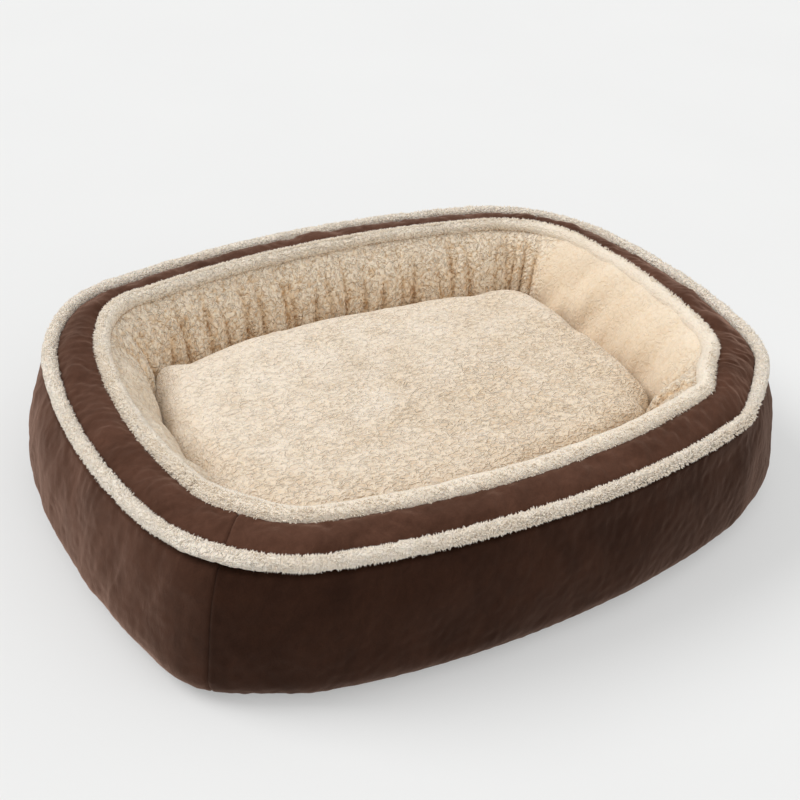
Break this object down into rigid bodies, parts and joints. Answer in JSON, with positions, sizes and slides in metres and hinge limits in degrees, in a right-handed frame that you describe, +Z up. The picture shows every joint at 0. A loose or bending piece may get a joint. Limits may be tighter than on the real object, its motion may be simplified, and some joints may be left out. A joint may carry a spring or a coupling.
{
  "type": "pet cushion bed",
  "caption": "Rounded rectangular pet bed: a suede bolster rim with cream piping and a loose crowned sherpa cushion that lifts out of the well.",
  "frame": {"origin": "on the floor under the middle of the bed", "axes": "+X along the long axis, +Y towards the back long side, +Z up"},
  "size_m": [0.708, 0.5498, 0.15],
  "materials": {
    "suede_brown": "brushed brown faux suede with a short mottled nap",
    "sherpa_cream": "cream sherpa pile with small curled nubs",
    "plush_cream": "short brushed cream plush",
    "cushion_sherpa": "cream sherpa pile with long worm-like nubs",
    "piping_cord": "twisted white polyester cord",
    "binding_tape": "folded brown woven tape",
    "base_cloth": "dark brown woven base cloth",
    "grip_dot": "matt moulded dots",
    "wadding": "white bonded polyester wadding",
    "fibre_fill": "loose white polyester fibre",
    "deck_cloth": "plain woven brown lining cloth",
    "zip_tape": "woven beige zip tape",
    "zip_coil": "moulded nylon coil",
    "zip_metal": "satin antique zinc"
  },
  "bodies": {
    "bed": {"side_wall_front": "suede_brown", "side_wall_back": "suede_brown", "top_band_front": "suede_brown", "top_band_back": "suede_brown", "outer_piping_cover": "sherpa_cream", "outer_piping_cord": "piping_cord", "inner_lip": "plush_cream", "base_binding": "binding_tape", "base_panel": "base_cloth", "grip_dots": "grip_dot", "floor_pad": "wadding", "deck_panel": "deck_cloth", "lining_front": "sherpa_cream", "lining_back": "sherpa_cream", "lining_left": "sherpa_cream", "lining_right": "sherpa_cream", "bolster_fill_front": "fibre_fill", "bolster_fill_back": "fibre_fill", "bolster_fill_left": "fibre_fill", "bolster_fill_right": "fibre_fill"},
    "cushion": {"cushion_cover_top": "cushion_sherpa", "cushion_cover_bottom": "cushion_sherpa", "cushion_fill": "fibre_fill", "zip_tape_upper": "zip_tape", "zip_tape_lower": "zip_tape", "zip_coil_upper": "zip_coil", "zip_coil_lower": "zip_coil", "zip_stops": "zip_metal"},
    "slider": {"zip_slider": "zip_metal"},
    "pull": {"zip_pull": "zip_metal"}
  },
  "joints": [
    {"name": "cushion_lift", "type": "slide", "parent": "bed", "child": "cushion", "axis": [0, 0, 1], "range_m": [0, 0.25]},
    {"name": "zip_run", "type": "hinge", "parent": "cushion", "child": "slider", "pos_m": [0, -0.62, 0.02968], "axis": [0, 0, -1], "range_deg": [0, 22]},
    {"name": "pull_swing", "type": "hinge", "parent": "slider", "child": "pull", "pos_m": [-0.1477, 0.13984, 0.02968], "axis": [-0.1039, 0.5346, 0.8387], "range_deg": [0, 45]}
  ]
}
